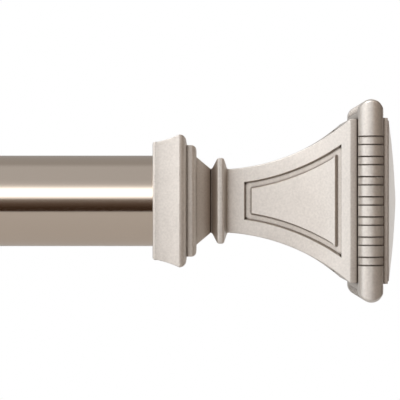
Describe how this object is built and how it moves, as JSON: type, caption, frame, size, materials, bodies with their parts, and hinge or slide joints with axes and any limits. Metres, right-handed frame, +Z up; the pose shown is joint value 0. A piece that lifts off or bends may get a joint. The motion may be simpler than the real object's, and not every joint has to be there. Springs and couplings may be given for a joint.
{
  "type": "curtain rod with brackets",
  "caption": "Telescopic round curtain rod on two adjustable cup brackets, with flared square finials that screw on and a ribbed bead frame behind each end cap.",
  "frame": {"origin": "centre of the right bracket's wall face", "axes": "+X along the rod to the right finial, +Y into the wall, +Z up"},
  "size_m": [0.965, 0.1239, 0.0964],
  "materials": {
    "tube_plate": "satin nickel plate, finely brushed",
    "cast_finish": "fine-grained metallic champagne nickel finish on a die casting",
    "bracket_finish": "metallic champagne nickel finish",
    "screw_steel": "zinc-plated steel",
    "pad_brass": "turned brass",
    "bush_nylon": "natural nylon",
    "plug_zinc": "die-cast, bare"
  },
  "bodies": {
    "right_bracket": {"right_wall_plate": "bracket_finish", "right_arm_sleeve": "bracket_finish", "right_sleeve_screws": "screw_steel"},
    "right_arm": {"right_arm_bar": "bracket_finish", "right_cradle": "bracket_finish", "right_cradle_screw": "screw_steel"},
    "right_arm_lock_pad": {"right_arm_lock_pad": "pad_brass"},
    "right_arm_lock_screw": {"right_arm_lock_screw": "bracket_finish"},
    "right_rod_lock_pad": {"right_rod_lock_pad": "pad_brass"},
    "right_rod_lock_screw": {"right_rod_lock_screw": "bracket_finish"},
    "rod": {"outer_tube": "tube_plate", "outer_tube_plug": "plug_zinc", "mouth_bush": "bush_nylon"},
    "inner_rod": {"inner_tube": "tube_plate", "inner_tube_plug": "plug_zinc", "tail_bush": "bush_nylon"},
    "right_collar": {"right_collar": "cast_finish"},
    "right_finial": {"right_finial_head": "cast_finish", "right_bead_frame": "cast_finish", "right_end_cap": "cast_finish", "right_stud": "screw_steel"},
    "left_collar": {"left_collar": "cast_finish", "left_collar_reducer": "bush_nylon"},
    "left_finial": {"left_finial_head": "cast_finish", "left_bead_frame": "cast_finish", "left_end_cap": "cast_finish", "left_stud": "screw_steel"},
    "left_bracket": {"left_wall_plate": "bracket_finish", "left_arm_sleeve": "bracket_finish", "left_sleeve_screws": "screw_steel"},
    "left_arm": {"left_arm_bar": "bracket_finish", "left_cradle": "bracket_finish", "left_cradle_screw": "screw_steel"},
    "left_arm_lock_pad": {"left_arm_lock_pad": "pad_brass"},
    "left_arm_lock_screw": {"left_arm_lock_screw": "bracket_finish"},
    "left_rod_lock_pad": {"left_rod_lock_pad": "pad_brass"},
    "left_rod_lock_screw": {"left_rod_lock_screw": "bracket_finish"}
  },
  "joints": [
    {"name": "right_arm_reach", "type": "slide", "parent": "right_bracket", "child": "right_arm", "axis": [0, -1, 0], "range_m": [0, 0.032]},
    {"name": "rod_lift", "type": "slide", "parent": "right_arm", "child": "rod", "axis": [0, 0, 1], "range_m": [0, 0.03]},
    {"name": "telescope", "type": "slide", "parent": "rod", "child": "inner_rod", "axis": [-1, 0, 0], "range_m": [-0.025, 0.385]},
    {"name": "left_bracket_place", "type": "slide", "parent": "right_bracket", "child": "left_bracket", "axis": [-1, 0, 0], "range_m": [-0.025, 0.385]},
    {"name": "left_arm_reach", "type": "slide", "parent": "left_bracket", "child": "left_arm", "axis": [0, -1, 0], "range_m": [0, 0.032]},
    {"name": "right_collar_slide", "type": "slide", "parent": "rod", "child": "right_collar", "axis": [1, 0, 0], "range_m": [0, 0.01]},
    {"name": "right_finial_turn", "type": "hinge", "parent": "right_collar", "child": "right_finial", "pos_m": [0.1129, -0.089, 0.0236], "axis": [1, 0, 0], "range_deg": [0, 2880]},
    {"name": "right_arm_lock_travel", "type": "slide", "parent": "right_bracket", "child": "right_arm_lock_pad", "axis": [0, 0, -1], "range_m": [0, 0.0024]},
    {"name": "right_arm_lock_turn", "type": "hinge", "parent": "right_arm_lock_pad", "child": "right_arm_lock_screw", "pos_m": [0, -0.052, -0.0062], "axis": [0, 0, -1], "range_deg": [0, 1080]},
    {"name": "right_rod_lock_travel", "type": "slide", "parent": "right_arm", "child": "right_rod_lock_pad", "axis": [0, -1, 0], "range_m": [0, 0.0032]},
    {"name": "right_rod_lock_turn", "type": "hinge", "parent": "right_rod_lock_pad", "child": "right_rod_lock_screw", "pos_m": [0, -0.1043, 0.0236], "axis": [0, -1, 0], "range_deg": [0, 1440]},
    {"name": "left_collar_slide", "type": "slide", "parent": "inner_rod", "child": "left_collar", "axis": [-1, 0, 0], "range_m": [0, 0.01]},
    {"name": "left_finial_turn", "type": "hinge", "parent": "left_collar", "child": "left_finial", "pos_m": [-0.7355, -0.089, 0.0236], "axis": [-1, 0, 0], "range_deg": [0, 2880]},
    {"name": "left_arm_lock_travel", "type": "slide", "parent": "left_bracket", "child": "left_arm_lock_pad", "axis": [0, 0, -1], "range_m": [0, 0.0024]},
    {"name": "left_arm_lock_turn", "type": "hinge", "parent": "left_arm_lock_pad", "child": "left_arm_lock_screw", "pos_m": [-0.6226, -0.052, -0.0062], "axis": [0, 0, -1], "range_deg": [0, 1080]},
    {"name": "left_rod_lock_travel", "type": "slide", "parent": "left_arm", "child": "left_rod_lock_pad", "axis": [0, -1, 0], "range_m": [0, 0.0032]},
    {"name": "left_rod_lock_turn", "type": "hinge", "parent": "left_rod_lock_pad", "child": "left_rod_lock_screw", "pos_m": [-0.6226, -0.1027, 0.0236], "axis": [0, -1, 0], "range_deg": [0, 1440]}
  ],
  "couplings": [
    {"joint": "left_bracket_place", "follows": "telescope", "ratio": 1},
    {"joint": "left_arm_reach", "follows": "right_arm_reach", "ratio": 1},
    {"joint": "right_collar_slide", "follows": "right_finial_turn", "m_per_rad": 0.00019894},
    {"joint": "right_arm_lock_turn", "follows": "right_arm_lock_travel", "rad_per_m": 7854},
    {"joint": "right_rod_lock_turn", "follows": "right_rod_lock_travel", "rad_per_m": 7854},
    {"joint": "left_collar_slide", "follows": "left_finial_turn", "m_per_rad": 0.00019894},
    {"joint": "left_arm_lock_turn", "follows": "left_arm_lock_travel", "rad_per_m": 7854},
    {"joint": "left_rod_lock_turn", "follows": "left_rod_lock_travel", "rad_per_m": 7854}
  ]
}
